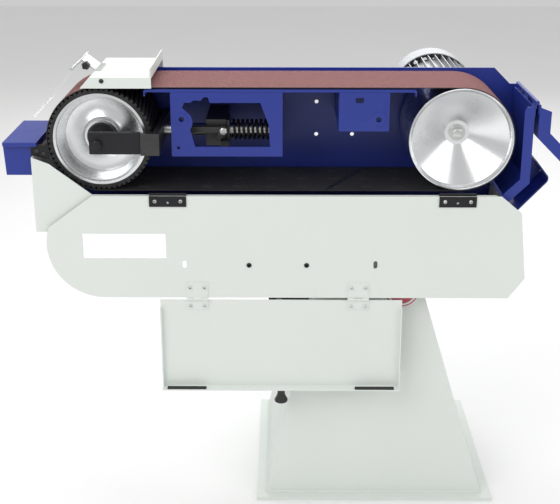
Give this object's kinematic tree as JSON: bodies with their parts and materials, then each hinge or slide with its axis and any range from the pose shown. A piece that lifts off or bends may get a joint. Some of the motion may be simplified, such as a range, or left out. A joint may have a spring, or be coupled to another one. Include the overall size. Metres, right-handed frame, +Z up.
{
  "type": "belt sander",
  "caption": "Pedestal belt grinder: wide abrasive belt over a contact wheel and a drive drum, hinged covers, fork tensioner, rear motor.",
  "frame": {"origin": "on the floor under the middle of the base plate", "axes": "+X along the belt towards the drive drum, +Y from the working side towards the motor, +Z up"},
  "size_m": [1.1636, 0.5055, 0.944],
  "materials": {
    "painted_blue": "satin powder coat",
    "painted_light": "fine texture powder coat",
    "black_steel": "black oxide",
    "aluminium_parts": "turned and cast aluminium",
    "bright_steel": "bright steel",
    "dark_steel": "blackened steel",
    "spring_steel": "black spring wire",
    "rubber": "serrated rubber",
    "abrasive": "aluminium oxide grit on cloth",
    "black_plastic": "moulded",
    "green_plastic": "moulded",
    "red_plastic": "moulded",
    "motor_paint": "grey paint",
    "zinc": "zinc plated",
    "clear_plastic": "clear polycarbonate",
    "magnet": "magnetic strip",
    "badge": "blank round badge"
  },
  "bodies": {
    "frame": {"stand_column": "painted_light", "stand_base_plate": "painted_light", "stand_badge": "badge", "switch_box": "black_plastic", "lower_housing": "painted_light", "dust_ports": "bright_steel", "chute_side_plate": "black_steel", "back_plate": "painted_blue", "end_wall": "painted_blue", "dust_deflector": "painted_blue", "platen": "painted_blue", "tension_bracket": "painted_blue", "platen_bracket": "painted_blue", "slide_guide": "dark_steel", "spring_stop": "dark_steel", "abrasive_belt": "abrasive", "motor_flange": "aluminium_parts", "motor_body": "aluminium_parts", "fan_cowl": "motor_paint", "terminal_box": "motor_paint", "cable_gland": "black_plastic", "motor_bolts": "bright_steel", "wheel_guard": "painted_light", "shield_bracket": "zinc", "shield_knob": "black_plastic", "table_bracket": "painted_blue", "housing_hinge_leaves": "black_steel", "cover_hinge_fixed": "painted_blue", "fixing_screws": "bright_steel", "tension_spring": "spring_steel"},
    "start_push": {"start_button": "green_plastic"},
    "stop_push": {"stop_button": "red_plastic"},
    "door_leaf": {"door": "painted_light", "door_handle": "black_plastic", "door_hinge_leaves": "black_steel", "door_screws": "bright_steel", "flap_hinge_upper": "painted_light"},
    "flap_leaf": {"flap": "painted_light", "flap_hinge_lower": "painted_light", "flap_magnets": "magnet", "flap_knob": "black_plastic"},
    "cover_leaf": {"end_cover": "painted_blue"},
    "fork": {"front_arm": "black_steel", "fork_cross_block": "dark_steel", "rear_arm": "black_steel", "slide_bar": "bright_steel", "spring_plate": "dark_steel", "wheel_axle": "bright_steel", "axle_bolts": "bright_steel"},
    "wheel": {"contact_wheel_hub": "aluminium_parts", "contact_wheel_tyre": "rubber", "wheel_bearings": "dark_steel"},
    "rotor": {"drive_drum": "aluminium_parts", "drum_bolt": "bright_steel", "motor_shaft": "bright_steel", "cooling_fan": "black_plastic"},
    "lever": {"tension_lever": "dark_steel"},
    "tracker": {"tracking_knob": "black_plastic"},
    "table": {"work_table": "painted_blue"},
    "shield": {"eye_shield": "clear_plastic"}
  },
  "joints": [
    {"name": "drum_spin", "type": "hinge", "parent": "frame", "child": "rotor", "pos_m": [0.143, -0.12, 0.8], "axis": [0, 1, 0], "continuous": true},
    {"name": "tension_slide", "type": "slide", "parent": "frame", "child": "fork", "axis": [1, 0, 0], "range_m": [0, 0.02], "stiffness_N_per_m": 6000, "springref_m": -0.02, "deforming": ["tension_spring"]},
    {"name": "contact_wheel_spin", "type": "hinge", "parent": "fork", "child": "wheel", "pos_m": [-0.543, -0.12, 0.8], "axis": [0, 1, 0], "continuous": true},
    {"name": "tension_lever_turn", "type": "hinge", "parent": "frame", "child": "lever", "pos_m": [-0.3105, -0.16, 0.808], "axis": [0, -1, 0], "range_deg": [0, 60.5]},
    {"name": "door_hinge", "type": "hinge", "parent": "frame", "child": "door_leaf", "pos_m": [-0.15, -0.2185, 0.697], "axis": [1, 0, 0], "range_deg": [-180, 0]},
    {"name": "flap_hinge", "type": "hinge", "parent": "door_leaf", "child": "flap_leaf", "pos_m": [-0.2, -0.226, 0.4815], "axis": [1, 0, 0], "range_deg": [-90, 0]},
    {"name": "end_cover_hinge", "type": "hinge", "parent": "frame", "child": "cover_leaf", "pos_m": [0.281, -0.12, 0.874], "axis": [0, 1, 0], "range_deg": [-225, 0]},
    {"name": "table_slide", "type": "slide", "parent": "frame", "child": "table", "axis": [1, 0, 0], "range_m": [-0.012, 0.01]},
    {"name": "shield_tilt", "type": "hinge", "parent": "frame", "child": "shield", "pos_m": [-0.589, -0.12, 0.936], "axis": [0, 1, 0], "range_deg": [0, 50]},
    {"name": "tracking_turn", "type": "hinge", "parent": "frame", "child": "tracker", "pos_m": [-0.325, -0.01, 0.801], "axis": [0, 1, 0], "range_deg": [-360, 360]},
    {"name": "start_button_push", "type": "slide", "parent": "frame", "child": "start_push", "axis": [0, 1, 0], "range_m": [0, 0.004], "stiffness_N_per_m": 400},
    {"name": "stop_button_push", "type": "slide", "parent": "frame", "child": "stop_push", "axis": [0, 1, 0], "range_m": [0, 0.004], "stiffness_N_per_m": 400}
  ],
  "couplings": [
    {"joint": "contact_wheel_spin", "follows": "drum_spin", "ratio": 1},
    {"joint": "tension_lever_turn", "follows": "tension_slide", "rad_per_m": 52.36}
  ]
}
